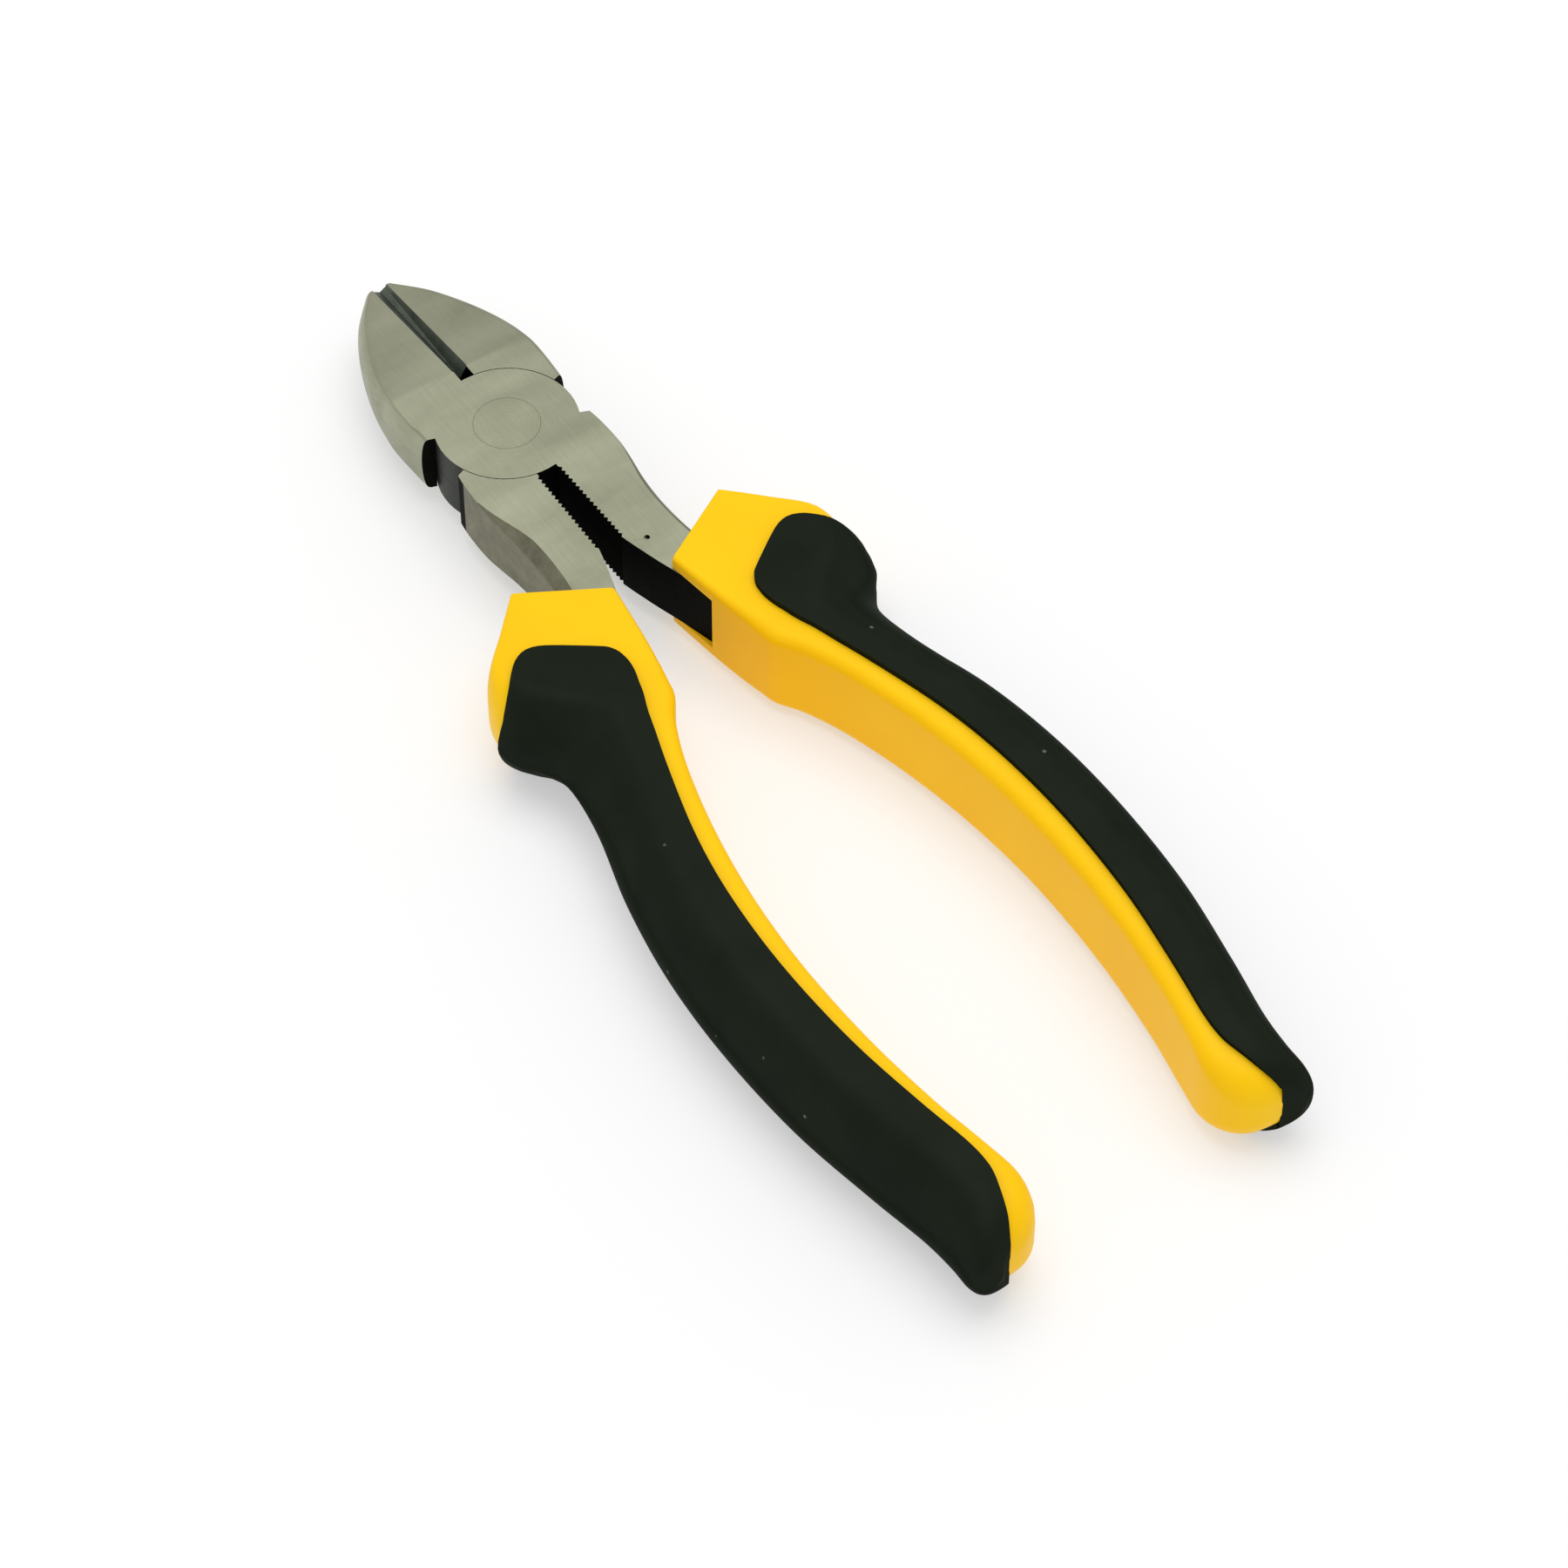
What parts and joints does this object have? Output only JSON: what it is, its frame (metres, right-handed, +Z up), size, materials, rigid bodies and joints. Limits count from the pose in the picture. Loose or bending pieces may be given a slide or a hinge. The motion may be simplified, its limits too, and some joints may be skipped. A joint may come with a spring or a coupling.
{
  "type": "diagonal cutting pliers",
  "caption": "Lap-jointed side cutters with bevelled jaws, a toothed slot behind the joint and guarded hard-and-soft moulded grips that open on a flush rivet.",
  "frame": {"origin": "on the pivot axis, on the lower ground face of the joint", "axes": "+X from the pivot to the jaw tips, +Y to the left handle, +Z up along the pivot axis"},
  "size_m": [0.1584, 0.055, 0.0145],
  "materials": {
    "forged_steel": "satin ground faces, black oxide in the slot and notches",
    "rivet_steel": "ground flush",
    "hard_grip": "satin moulded",
    "soft_grip": "matte moulded"
  },
  "bodies": {
    "left_half": {"left_lever": "forged_steel", "pivot_rivet": "rivet_steel", "left_grip_core": "hard_grip", "left_grip_cover": "soft_grip"},
    "right_half": {"right_lever": "forged_steel", "right_grip_core": "hard_grip", "right_grip_cover": "soft_grip"}
  },
  "joints": [
    {"name": "jaw_pivot", "type": "hinge", "parent": "left_half", "child": "right_half", "pos_m": [0, 0, 0], "axis": [0, 0, 1], "range_deg": [0, 38]}
  ]
}
